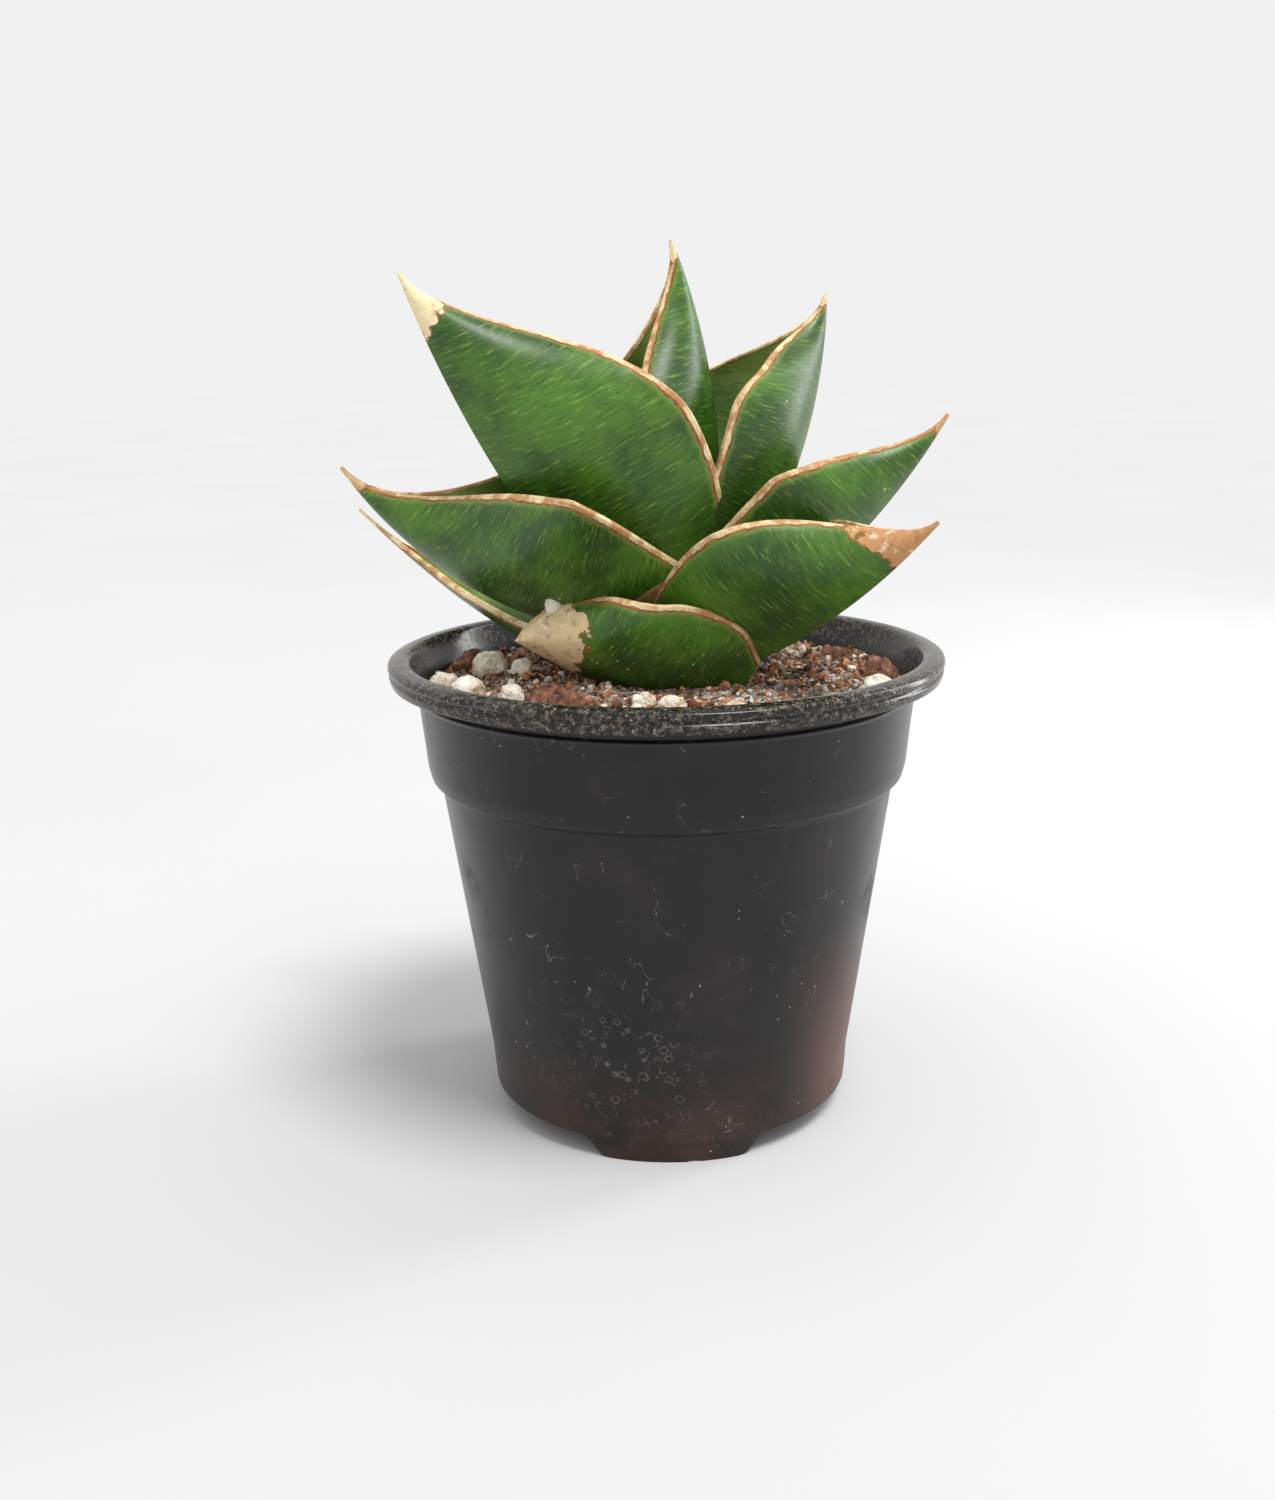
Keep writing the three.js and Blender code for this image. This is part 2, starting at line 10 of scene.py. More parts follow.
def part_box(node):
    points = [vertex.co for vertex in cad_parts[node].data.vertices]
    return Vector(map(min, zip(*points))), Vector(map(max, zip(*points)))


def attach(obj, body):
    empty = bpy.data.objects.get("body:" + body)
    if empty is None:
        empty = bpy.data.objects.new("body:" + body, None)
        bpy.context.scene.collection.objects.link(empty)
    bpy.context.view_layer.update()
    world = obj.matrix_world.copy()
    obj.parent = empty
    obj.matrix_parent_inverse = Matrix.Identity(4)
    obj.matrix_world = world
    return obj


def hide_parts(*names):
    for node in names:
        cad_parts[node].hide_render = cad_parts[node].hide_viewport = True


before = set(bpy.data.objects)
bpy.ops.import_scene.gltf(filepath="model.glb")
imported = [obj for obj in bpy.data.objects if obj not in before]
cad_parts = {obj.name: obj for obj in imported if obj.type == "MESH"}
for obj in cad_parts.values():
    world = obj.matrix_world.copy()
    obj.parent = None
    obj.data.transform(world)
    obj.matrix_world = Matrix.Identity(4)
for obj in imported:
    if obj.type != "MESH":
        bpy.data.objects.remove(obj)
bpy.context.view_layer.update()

# --- Nursery pot ---
# A round 10.5 cm nursery pot, drawn from one thin sheet of black polystyrene: a tapered body, a
# stepped-out collar that nests in the next pot, a beaded and rolled rim, and three low feet
# between raised arches that let water drain from the floor's holes.
low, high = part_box("pot")
POT_AXIS = Vector(((low.x + high.x) / 2, (low.y + high.y) / 2, 0))
MM = 0.001
POT_STEPS = 150
WALL = 1.2
FOOT_DROP = 4.0
FOOT_MIDDLES = (270, 30, 150)
POT_PROFILE = [
    (0, 5.2), (31.2, 5.2), (33.2, 3.9), (34.4, 3.9), (34.6, 4.1), (35, 4.1), (35.25, 7), (35.5, 11),
    (38.1, 29), (40.7, 47), (43.3, 65.2), (45.1, 66.6), (45.7, 69), (46.3, 75.4), (47, 82),
    (47.6, 82.6), (47, 83.2), (47.2, 84.9), (51.9, 85), (52.3, 86.5), (51.8, 87), (52.5, 87.9),
    (52.2, 88.7), (51.3, 89.1), (50.1, 89.3), (49, 89.2), (48.3, 88.7), (47.4, 86), (45.8, 82),
    (44.5, 69), (42.1, 64.8), (39.5, 46.8), (36.9, 28.8), (34.3, 11), (34, 6.6), (0, 6.6),
]


def settle(bm, name):
    """The bmesh, made in millimetres about the pot's axis, as an object in the row frame."""
    bm.transform(Matrix.Translation(POT_AXIS) @ Matrix.Scale(MM, 4))
    mesh = bpy.data.meshes.new(name)
    bm.to_mesh(mesh)
    bm.free()
    mesh.shade_smooth()
    piece = bpy.data.objects.new(name, mesh)
    bpy.context.scene.collection.objects.link(piece)
    return piece


def turned(profile, steps):
    """A closed skin turned from (radius, height) points that start and end on the axis."""
    bm = bmesh.new()
    row = [bm.verts.new((radius, 0, height)) for radius, height in profile]
    edges = [bm.edges.new(pair) for pair in zip(row, row[1:])]
    bmesh.ops.spin(
        bm, geom=row + edges, cent=(0, 0, 0), axis=(0, 0, 1), angle=2 * math.pi,
        steps=steps, use_merge=True,
    )
    bmesh.ops.remove_doubles(bm, verts=bm.verts, dist=0.001)
    bmesh.ops.recalc_face_normals(bm, faces=bm.faces)
    return bm


def carved(piece, cutters, solver="MANIFOLD"):
    """The piece's mesh with each cutter's room taken out of it."""
    for cutter in cutters:
        cut = piece.modifiers.new(cutter.name, "BOOLEAN")
        cut.operation = "DIFFERENCE"
        cut.solver = solver
        cut.object = cutter
    bpy.context.view_layer.update()
    shown = piece.evaluated_get(bpy.context.evaluated_depsgraph_get())
    mesh = bpy.data.meshes.new_from_object(shown)
    piece.modifiers.clear()
    plain = piece.data
    piece.data = mesh
    bpy.data.meshes.remove(plain)
    return piece


def discard(pieces):
    for piece in pieces:
        mesh = piece.data
        bpy.data.objects.remove(piece)
        bpy.data.meshes.remove(mesh)


def smoothstep(value, start, end):
    share = min(max((value - start) / (end - start), 0), 1)
    return share * share * (3 - 2 * share)


def lerp(a, b, share):
    return a + (b - a) * share


def pot_shell():
    bm = turned(POT_PROFILE, POT_STEPS)
    rims = [
        edge for edge in bm.edges
        if abs(edge.verts[0].co.z - edge.verts[1].co.z) < 0.01
        and abs(edge.verts[0].co.xy.length - edge.verts[1].co.xy.length) < 0.01
        and edge.verts[0].co.z > 60 and edge.verts[0].co.xy.length > 43
    ]
    bmesh.ops.bevel(
        bm, geom=rims, offset=0.22, affect="EDGES", segments=3, profile=0.5, material=-1,
        clamp_overlap=True,
    )
    for vert in bm.verts:
        if vert.co.z > 4 or vert.co.xy.length < 32:
            continue
        angle = math.degrees(math.atan2(vert.co.y, vert.co.x))
        away = min(abs((angle - middle + 180) % 360 - 180) for middle in FOOT_MIDDLES)
        notch = 0.6 * (abs((angle - 276.5 + 180) % 360 - 180) < 1.8)
        vert.co.z -= FOOT_DROP * (1 - smoothstep(away, 21, 30)) - 0.1 - notch
        vert.co.z = max(vert.co.z, 0)
    return bm


def drain_holes():
    bm = bmesh.new()
    for k in range(6):
        angle = math.tau * (k + 0.5) / 6
        place = Matrix.Translation((24 * math.cos(angle), 24 * math.sin(angle), 6))
        bmesh.ops.create_cone(
            bm, cap_ends=True, segments=32, radius1=3.6, radius2=3.6, depth=8, matrix=place,
        )
    return bm


def linear(code):
    """A colour's sRGB hex code as linear red, green, blue and alpha."""
    parts = [int(code[k : k + 2], 16) / 255 for k in (1, 3, 5)]
    return (*(c / 12.92 if c <= 0.04045 else ((c + 0.055) / 1.055) ** 2.4 for c in parts), 1.0)


def add(tree, kind, inputs=None, stops=None, **settings):
    """A node of that kind: settings are its properties, inputs its sockets' values or links."""
    made = tree.nodes.new(kind)
    for name, value in settings.items():
        setattr(made, name, value)
    for name, value in (inputs or {}).items():
        if isinstance(value, bpy.types.NodeSocket):
            tree.links.new(value, made.inputs[name])
        else:
            made.inputs[name].default_value = value
    if stops:
        elements = made.color_ramp.elements
        while len(elements) < len(stops):
            elements.new(0.5)
        for element, (position, code) in zip(elements, stops):
            element.position = position
            element.color = linear(code)
    return made


def finish_named(name):
    """An empty material with its shader, and its node tree."""
    made = bpy.data.materials.new(name)
    made.use_nodes = True
    made.node_tree.nodes.clear()
    shader = add(made.node_tree, "ShaderNodeBsdfPrincipled")
    add(made.node_tree, "ShaderNodeOutputMaterial", {"Surface": shader.outputs["BSDF"]})
    return made, made.node_tree, shader


def black_polystyrene():
    """Thermoformed black polystyrene sheet: dark satin skin with soft broad reflections, the grey haze,
    light specks, hairs and dried water rings of a used pot, and a painted reddish reflection low down and on the right."""
    made, tree, shader = finish_named("thermoformed_black_polystyrene")
    where = add(tree, "ShaderNodeTexCoord").outputs["Object"]
    place = add(
        tree, "ShaderNodeMapping", {"Vector": where, "Location": -POT_AXIS}, vector_type="POINT"
    ).outputs["Vector"]
    parts = add(tree, "ShaderNodeSeparateXYZ", {"Vector": place}).outputs

    def fine(size_mm, detail=4.0, rough=0.6, vector=place, distortion=0.0):
        return add(
            tree, "ShaderNodeTexNoise",
            {"Vector": vector, "Scale": 1 / (size_mm * MM), "Detail": detail, "Roughness": rough,
             "Distortion": distortion},
        ).outputs["Fac"]

    def between(value, start, end, low=0.0, high=1.0):
        return add(
            tree, "ShaderNodeMapRange",
            {"Value": value, "From Min": start, "From Max": end, "To Min": low, "To Max": high},
            interpolation_type="SMOOTHSTEP",
        ).outputs["Result"]

    def product(a, b):
        return add(tree, "ShaderNodeMath", {0: a, 1: b}, operation="MULTIPLY").outputs[0]

    def over(share, below, above):
        return add(tree, "ShaderNodeMix", {0: share, 6: below, 7: above}, data_type="RGBA").outputs[2]

    skin = over(between(fine(28), 0.4, 0.65), linear("#0f0d0d"), linear("#171313"))
    # Thin grey film, thicker in cloudy patches about 12 mm wide.
    haze = product(between(fine(12, 6), 0.45, 0.8), 0.35)
    skin = over(haze, skin, linear("#38322f"))
    # Painted reddish reflection up from the foot and on the right: a red floor's reflection laid into the skin's
    # colour.
    height = parts["Z"]
    foot_red_reflection = product(between(height, 0.024, 0.002), between(fine(9, 5), 0.3, 0.65))
    right_red_reflection = product(between(parts["X"], 0.018, 0.036), between(height, 0.045, 0.012))
    painted_red_reflection = add(
        tree, "ShaderNodeMath", {0: product(foot_red_reflection, 0.16), 1: product(right_red_reflection, 0.5)},
        operation="MAXIMUM",
    ).outputs[0]
    skin = over(painted_red_reflection, skin, linear("#7a4a38"))
    # Dust specks a third of a millimetre across, in cells about 2.4 mm apart.
    cells = add(tree, "ShaderNodeTexVoronoi", {"Vector": place, "Scale": 1 / (2.4 * MM)})
    cell_draw = add(tree, "ShaderNodeSeparateColor", {"Color": cells.outputs["Color"]}).outputs
    speck = product(
        between(cells.outputs["Distance"], 0.11, 0.06), between(cell_draw["Red"], 0.72, 0.8)
    )
    clouds = between(fine(14, 2), 0.42, 0.62, 0.15, 1.0)
    skin = over(product(speck, product(clouds, 0.75)), skin, linear("#b9ad9c"))
    # Hairs and fine scratches: thin level lines of a winding noise, kept only in patches.
    winding = fine(7, 1.5, 0.5, distortion=1.2)
    off_level = add(tree, "ShaderNodeMath", {0: winding, 1: 0.5}, operation="SUBTRACT").outputs[0]
    thin = add(tree, "ShaderNodeMath", {0: off_level}, operation="ABSOLUTE").outputs[0]
    hair = product(between(thin, 0.0045, 0.001), between(fine(6, 2), 0.56, 0.64))
    skin = over(product(hair, 0.5), skin, linear("#8d8781"))
    # Dried water rings about 2 mm across, crowded low on the front left.
    drops = add(
        tree, "ShaderNodeTexVoronoi", {"Vector": place, "Scale": 1 / (2.1 * MM), "Randomness": 1.0}
    )
    ring_gap = add(
        tree, "ShaderNodeMath", {0: drops.outputs["Distance"], 1: 0.36}, operation="SUBTRACT"
    ).outputs[0]
    ring = between(
        add(tree, "ShaderNodeMath", {0: ring_gap}, operation="ABSOLUTE").outputs[0], 0.09, 0.02
    )
    spot = add(
        tree, "ShaderNodeVectorMath",
        {0: place, 1: (-0.008, -0.037, 0.019)}, operation="DISTANCE",
    ).outputs["Value"]
    spotted = product(between(spot, 0.019, 0.004), between(fine(3, 3), 0.42, 0.6))
    skin = over(product(product(ring, spotted), 0.3), skin, linear("#8a8480"))
    # Soil dust on the rolled rim, in grey-brown patches and pale specks, laid on thick enough to serve also as a
    # painted highlight along the rim band.
    rim = between(height, 0.0838, 0.0856)
    rim_dust_and_highlight = product(rim, between(fine(1.1, 5, 0.75), 0.48, 0.66))
    skin = over(product(rim_dust_and_highlight, 0.62), skin, linear("#8c7f72"))
    skin = over(product(product(rim, between(fine(0.6, 3, 0.7), 0.62, 0.7)), 0.85), skin, linear("#cbbda8"))
    tree.links.new(skin, shader.inputs["Base Color"])
    rough = between(haze, 0.0, 0.3, 0.3, 0.48)
    rough = add(tree, "ShaderNodeMath", {0: rough, 1: product(painted_red_reflection, 0.25)}, operation="ADD").outputs[0]
    rough = add(tree, "ShaderNodeMath", {0: rough, 1: product(rim_dust_and_highlight, 0.3)}, operation="ADD").outputs[0]
    rough = add(tree, "ShaderNodeMath", {0: rough, 1: product(rim, 0.14)}, operation="SUBTRACT").outputs[0]
    tree.links.new(rough, shader.inputs["Roughness"])
    waves = add(
        tree, "ShaderNodeBump",
        {"Height": fine(16, 2), "Strength": 0.25, "Distance": 0.4 * MM},
    )
    grain = add(
        tree, "ShaderNodeBump",
        {"Height": fine(0.5, 3), "Strength": 0.12, "Distance": 0.1 * MM,
         "Normal": waves.outputs["Normal"]},
    )
    tree.links.new(grain.outputs["Normal"], shader.inputs["Normal"])
    shader.inputs["IOR"].default_value = 1.42
    return made


holes = settle(drain_holes(), "drain_cutters")
pot = carved(settle(pot_shell(), "nursery_pot"), [holes])
discard([holes])
pot.data.set_sharp_from_angle(angle=math.radians(38))
pot.data.materials.clear()
pot.data.materials.append(black_polystyrene())
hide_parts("pot")
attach(pot, "root")

# --- Leaves ---
# Eight thick leaves of a dwarf boat-leaved snake plant, in two opposite ranks. Each grows as one
# keeled trough that clasps the next one in, with a papery cream margin behind a red-brown line,
# and a point that has dried out.
STATIONS = 46
FLANK_POINTS = 9
MARGIN_THICKNESS = 1.3
KEEL_THICKNESS = 5.0
TIP_HALF_WIDTH = 0.5
CLASP_REACH = 0.4
LEAF_GAP = 0.3
# From the outermost inwards, in the sizes of the part's own leaves. dry: share of the length
# where the point dries out, and how that shifts from the right margin to the left one; rust: 0
# for a cream dry point, 1 for an orange-brown one.
LEAVES = {
    "leaf_left_back_low": dict(
        base=(5.1, -1.8, 77.9), azimuth=143, swing=0, rise=(7, 34), length=95.2, half=17.3,
        widest=0.21, base_share=0.9, taper=1, point=1.46, fold=(21, 72), clasp=15, roll=13,
        close=0.62, ruffle=0, holds=(0, 0), dry=(0.9, 0.03), rust=0.1,
    ),
    "leaf_front_left_short": dict(
        base=(4.7, -0.2, 75.5), azimuth=203, swing=1, rise=(22, 33), length=39.6, half=30,
        widest=0.26, base_share=0.81, taper=2.08, point=0.63, fold=(5, 81), clasp=-11, roll=-2,
        close=0.69, ruffle=1.2, holds=(0, 14), dry=(0.66, 0.23), rust=0.25,
    ),
    "leaf_right_front_low": dict(
        base=(1.1, -2.2, 81.5), azimuth=-36, swing=-1, rise=(17, 48), length=65.4, half=26.2,
        widest=0.47, base_share=0.56, taper=1.99, point=1.52, fold=(23, 79), clasp=17, roll=7,
        close=0.5, ruffle=0, holds=(14, 0), dry=(0.845, 0.04), rust=0.8,
    ),
    "leaf_left_middle": dict(
        base=(4.4, 1.5, 90), azimuth=179, swing=6, rise=(-1, 57), length=75.9, half=39.5,
        widest=0.43, base_share=0.56, taper=1.45, point=1.63, fold=(23, 78), clasp=16, roll=9,
        close=0.44, ruffle=0, holds=(14, 14), dry=(0.93, 0), rust=0.6,
    ),
    "leaf_right_middle": dict(
        base=(-1.3, 0.5, 82.7), azimuth=3, swing=-1, rise=(24, 60), length=74.7, half=25.1,
        widest=0.56, base_share=0.63, taper=1.55, point=1.59, fold=(23, 81), clasp=13, roll=8,
        close=0.63, ruffle=0, holds=(14, 0), dry=(0.94, -0.02), rust=0.7,
    ),
    "leaf_right_upper": dict(
        base=(0.2, 4, 83.3), azimuth=19, swing=-2, rise=(40, 90), length=80.7, half=28.7,
        widest=0.66, base_share=0.52, taper=1.96, point=1.68, fold=(26, 91), clasp=18, roll=-5,
        close=0.78, ruffle=0, holds=(14, 14), dry=(0.97, 0), rust=0.3,
    ),
    "leaf_left_upper": dict(
        base=(-0.9, 0, 84.3), azimuth=197, swing=3, rise=(45, 70), length=87.8, half=37.8,
        widest=0.49, base_share=0.53, taper=1.85, point=1.42, fold=(25, 82), clasp=14, roll=-3,
        close=0.54, ruffle=0, holds=(14, 14), dry=(0.87, 0.055), rust=0.0,
    ),
    "leaf_centre_upright": dict(
        base=(4.5, 1.6, 82.7), azimuth=18, swing=5, rise=(70, 114), length=82.9, half=28,
        widest=0.57, base_share=0.7, taper=1.62, point=1.47, fold=(26, 84), clasp=15, roll=0,
        close=0.62, ruffle=0, holds=(0, 0), dry=(0.965, 0), rust=0.1,
    ),
}


def half_width(leaf, t):
    if t < leaf["widest"]:
        swell = math.sin(math.pi / 2 * t / leaf["widest"])
        share = leaf["base_share"] + (1 - leaf["base_share"]) * swell
    else:
        past = (t - leaf["widest"]) / (1 - leaf["widest"])
        share = (1 - past ** leaf["taper"]) ** leaf["point"]
    return leaf["half"] * share + TIP_HALF_WIDTH


def blade_axes(leaf, t):
    """The way the keel runs, up out of the blade, and sideways, at share t of the length."""
    rise = math.radians(lerp(*leaf["rise"], t))
    azimuth = math.radians(leaf["azimuth"] + leaf["swing"] * t)
    along = Vector((math.cos(rise) * math.cos(azimuth), math.cos(rise) * math.sin(azimuth), math.sin(rise)))
    up = Vector((-math.sin(rise) * math.cos(azimuth), -math.sin(rise) * math.sin(azimuth), math.cos(rise)))
    up.rotate(Matrix.Rotation(math.radians(-leaf["roll"]), 3, along))
    return along, up, up.cross(along)


def flank(leaf, t, grow, reach, fill):
    """Outer and inner points, and the lip, of one side of the trough's cross-section."""
    half = half_width(leaf, t)
    closing = smoothstep(t, leaf["close"], 0.97)
    clasp = leaf["clasp"] * min(max(1 - t / CLASP_REACH, 0), 1) ** 1.5
    keel_angle = math.radians(leaf["fold"][0])
    margin_angle = math.radians(lerp(leaf["fold"][1] + clasp, 172 - leaf["fold"][0], closing))
    keel_thick = min(KEEL_THICKNESS, 0.3 * half)
    margin_thick = min(MARGIN_THICKNESS, 0.25 * half)
    outward = grow + reach * (1 - smoothstep(t, 0.3, 0.6))
    outer, inner, leaning = [], [], []
    x = y = 0.0
    for i in range(FLANK_POINTS + 1):
        share = i / FLANK_POINTS
        angle = lerp(keel_angle, margin_angle, share)
        if i > 0:
            middle = lerp(keel_angle, margin_angle, share - 0.5 / FLANK_POINTS)
            x += half / FLANK_POINTS * math.cos(middle)
            y += half / FLANK_POINTS * math.sin(middle)
        thick = lerp(keel_thick, margin_thick, share * share)
        lean = angle if i > 0 else 0
        outer.append([max(x + outward * math.sin(lean), 0.15 + grow) if i > 0 else 0, y - outward * math.cos(lean)])
        inner.append([max(x - thick * math.sin(angle), 0.35 * x, 0.1) if i > 0 else 0, y + thick * math.cos(angle)])
        leaning.append(angle)
    rim_x, rim_y = inner[-1][0], inner[-1][1] + fill
    shut = 1 if fill > 0 else closing
    for i, point in enumerate(inner):
        open_x = max(point[0] - grow * math.sin(leaning[i]), 0.1) if i > 0 else 0
        point[0] = lerp(open_x, rim_x * i / FLANK_POINTS, shut)
        point[1] = lerp(point[1] + grow * math.cos(leaning[i]), rim_y + grow, shut)
    lip = [
        max((outer[-1][0] + inner[-1][0]) / 2 + (0.3 + grow) * math.cos(margin_angle), 0.12),
        (outer[-1][1] + inner[-1][1]) / 2 + (0.3 + grow) * max(math.sin(margin_angle), closing),
    ]
    return outer, inner, lip, half


def leaf_ring(leaf, t, keel, grow, reach, fill):
    """One closed ring of the skin: (place, mm from the keel, mm from the margin, 1 if inner)."""
    _, up, side = blade_axes(leaf, t)
    wave = leaf["ruffle"] * math.sin(9 * math.pi * t) * smoothstep(t, 0.4, 0.8) * (1 - t)
    ring = []

    def put(point, sign, share, half, face):
        place = keel + side * sign * point[0] + up * (point[1] + wave * share * share)
        ring.append((place, sign * share * half, (1 - share) * half, face))

    right = flank(leaf, t, grow, reach[0], fill)
    left = flank(leaf, t, grow, reach[1], fill)
    put(right[2], -1, 1, right[3], 0.5)
    for i in range(FLANK_POINTS, 0, -1):
        put(right[0][i], -1, i / FLANK_POINTS, right[3], 0)
    for i in range(FLANK_POINTS + 1):
        put(left[0][i], 1, i / FLANK_POINTS, left[3], 0)
    put(left[2], 1, 1, left[3], 0.5)
    for i in range(FLANK_POINTS, 0, -1):
        put(left[1][i], 1, i / FLANK_POINTS, left[3], 1)
    for i in range(FLANK_POINTS + 1):
        put(right[1][i], -1, i / FLANK_POINTS, right[3], 1)
    return ring


def leaf_skin(leaf, grow=0.0, reach=(0, 0), fill=0.0):
    """The leaf's closed skin, rolled from a flat grid, or a fatter copy that makes room for it.
    UV maps: blade holds mm across and along, edge mm from the margin and the face, and point mm
    past the line where the leaf has dried out, and the leaf's rust."""
    keel = Vector(leaf["base"])
    step = leaf["length"] / (STATIONS - 1)
    rings = []
    for k in range(STATIONS):
        t = k / (STATIONS - 1)
        if k > 0:
            keel = keel + blade_axes(leaf, t - 0.5 / (STATIONS - 1))[0] * step
        rings.append(leaf_ring(leaf, t, keel, grow, reach, fill))
    if grow > 0:
        first, last = blade_axes(leaf, 0)[0] * grow, blade_axes(leaf, 1)[0] * grow
        rings[0] = [(place - first, *rest) for place, *rest in rings[0]]
        rings[-1] = [(place + last, *rest) for place, *rest in rings[-1]]
    count = len(rings[0])
    bm = bmesh.new()
    blade, edge, point = (bm.loops.layers.uv.new(name) for name in ("blade", "edge", "point"))
    bmesh.ops.create_grid(bm, x_segments=count, y_segments=STATIONS - 1, size=1)
    spot = {}
    for vert in bm.verts:
        spot[vert] = (round((vert.co.x + 1) / 2 * count) % count, round((vert.co.y + 1) / 2 * (STATIONS - 1)))
    for face in bm.faces:
        for loop in face.loops:
            i, k = spot[loop.vert]
            _, across, from_margin, side = rings[k][i]
            t = k / (STATIONS - 1)
            along = t * leaf["length"]
            half = across / max(from_margin + abs(across), 0.01)
            dried = (t - leaf["dry"][0] - leaf["dry"][1] * half) * leaf["length"]
            loop[blade].uv = (across, along)
            loop[edge].uv = (from_margin, side)
            loop[point].uv = (dried, leaf["rust"])
    for vert, (i, k) in spot.items():
        vert.co = rings[k][i][0]
    bmesh.ops.remove_doubles(bm, verts=bm.verts, dist=0.0005)
    bmesh.ops.holes_fill(bm, edges=[e for e in bm.edges if e.is_boundary], sides=0)
    bmesh.ops.recalc_face_normals(bm, faces=bm.faces)
    return bm


def keep_biggest(mesh):
    """Drops the loose scraps that a cut leaves."""
    bm = bmesh.new()
    bm.from_mesh(mesh)
    left, best = set(bm.verts), []
    while left:
        body, edge_of = [], [left.pop()]
        while edge_of:
            vert = edge_of.pop()
            body.append(vert)
            for edge in vert.link_edges:
                other = edge.other_vert(vert)
                if other in left:
                    left.discard(other)
                    edge_of.append(other)
        best = max(best, body, key=len)
    kept = set(best)
    bmesh.ops.delete(bm, geom=[v for v in bm.verts if v not in kept], context="VERTS")
    bm.to_mesh(mesh)
    bm.free()


def snake_leaf():
    """Living leaf skin: a waxy cuticle over mottled green flesh, streaked across the blade, which
    gives a satin sheen. Its margin and point are dead papery tissue, cream to rust-brown."""
    made, tree, shader = finish_named("waxy_snake_plant_leaf")
    where = add(tree, "ShaderNodeTexCoord").outputs["Object"]
    blade = add(tree, "ShaderNodeUVMap", uv_map="blade").outputs["UV"]
    edge = add(tree, "ShaderNodeSeparateXYZ", {"Vector": add(tree, "ShaderNodeUVMap", uv_map="edge").outputs["UV"]}).outputs
    dried = add(tree, "ShaderNodeSeparateXYZ", {"Vector": add(tree, "ShaderNodeUVMap", uv_map="point").outputs["UV"]}).outputs

    def noise_at(vector, scale, detail=4.0, rough=0.6, distortion=0.0):
        return add(
            tree, "ShaderNodeTexNoise",
            {"Vector": vector, "Scale": scale, "Detail": detail, "Roughness": rough,
             "Distortion": distortion},
        ).outputs["Fac"]

    def between(value, start, end, low=0.0, high=1.0):
        return add(
            tree, "ShaderNodeMapRange",
            {"Value": value, "From Min": start, "From Max": end, "To Min": low, "To Max": high},
            interpolation_type="SMOOTHSTEP",
        ).outputs["Result"]

    def combine(operation, a, b):
        return add(tree, "ShaderNodeMath", {0: a, 1: b}, operation=operation).outputs[0]

    def over(share, below, above):
        return add(tree, "ShaderNodeMix", {0: share, 6: below, 7: above}, data_type="RGBA").outputs[2]

    # Patches of lighter and darker green about 14 mm wide.
    patches = noise_at(where, 1 / (14 * MM), 3, 0.55)
    green = over(between(patches, 0.35, 0.68), linear("#284a14"), linear("#4b7620"))
    # The inner faces get a lighter, yellower green: painted light, the sunlit open channels laid into the colour.
    painted_light_inner_green = over(between(patches, 0.35, 0.68), linear("#557430"), linear("#93a957"))
    green = over(edge["Y"], green, painted_light_inner_green)
    # Streaks across the blade: 0.55 mm wide, 4 mm long and slightly slanted.
    slanted = add(
        tree, "ShaderNodeMapping", {"Vector": blade, "Rotation": (0, 0, 0.45), "Scale": (0.25, 1.8, 1)},
        vector_type="POINT",
    ).outputs["Vector"]
    streaks = noise_at(slanted, 1.0, 3, 0.65)
    # The light streaks are partly painted glints: highlights on the skin's fine relief laid into the colour, over real
    # mottling.
    green = over(between(streaks, 0.52, 0.74, 0, 0.6), green, linear("#8aa544"))
    green = over(between(streaks, 0.46, 0.28, 0, 0.55), green, linear("#1c340c"))
    # Fine pale flecks of the cuticle.
    flecks = noise_at(slanted, 3.2, 2, 0.7)
    green = over(between(flecks, 0.62, 0.8, 0, 0.35), green, linear("#b4c07a"))
    # Small scars: brown or pale dots in a few of the 6 mm cells.
    cells = add(tree, "ShaderNodeTexVoronoi", {"Vector": where, "Scale": 1 / (6 * MM)})
    drawn = add(tree, "ShaderNodeSeparateColor", {"Color": cells.outputs["Color"]}).outputs
    dot = combine("MULTIPLY", between(cells.outputs["Distance"], 0.075, 0.04), between(drawn["Red"], 0.78, 0.82))
    scar = over(drawn["Green"], linear("#6b5a2c"), linear("#c9d3a0"))
    green = over(combine("MULTIPLY", dot, 0.8), green, scar)
    # The margin: a red-brown line behind a cream papery edge, 1.1 mm wide in all.
    uneven = noise_at(where, 1 / (2.5 * MM), 4, 0.6)
    reach = combine("ADD", edge["X"], between(uneven, 0.3, 0.7, -0.25, 0.25))
    paper = over(between(noise_at(where, 1 / (3.5 * MM), 3), 0.4, 0.62), linear("#e4cfa0"), linear("#b98a58"))
    rim_line = over(between(uneven, 0.4, 0.6), linear("#7c3f22"), linear("#a8653a"))
    halo = between(reach, 2.4, 1.1, 0, 0.5)
    green = over(halo, green, linear("#869a46"))
    skin = over(between(reach, 1.25, 1.05), green, rim_line)
    skin = over(between(reach, 0.85, 0.6), skin, paper)
    # The dried point, with a ragged border that shows a brown line.
    ragged = combine("ADD", dried["X"], between(noise_at(where, 1 / (3 * MM), 4, 0.65), 0.25, 0.75, -1.8, 1.8))
    straw = over(dried["Y"], linear("#ecdcae"), linear("#b8743a"))
    straw = over(between(noise_at(where, 1 / (2.2 * MM), 5, 0.7), 0.5, 0.72, 0, 0.75), straw, linear("#8a4d26"))
    straw = over(between(noise_at(where, 1 / (1.6 * MM), 3, 0.6), 0.55, 0.7, 0, 0.6), straw, linear("#f4ead0"))
    skin = over(between(ragged, -0.7, -0.2), skin, linear("#8a5a2c"))
    skin = over(between(ragged, 0.0, 0.35), skin, straw)
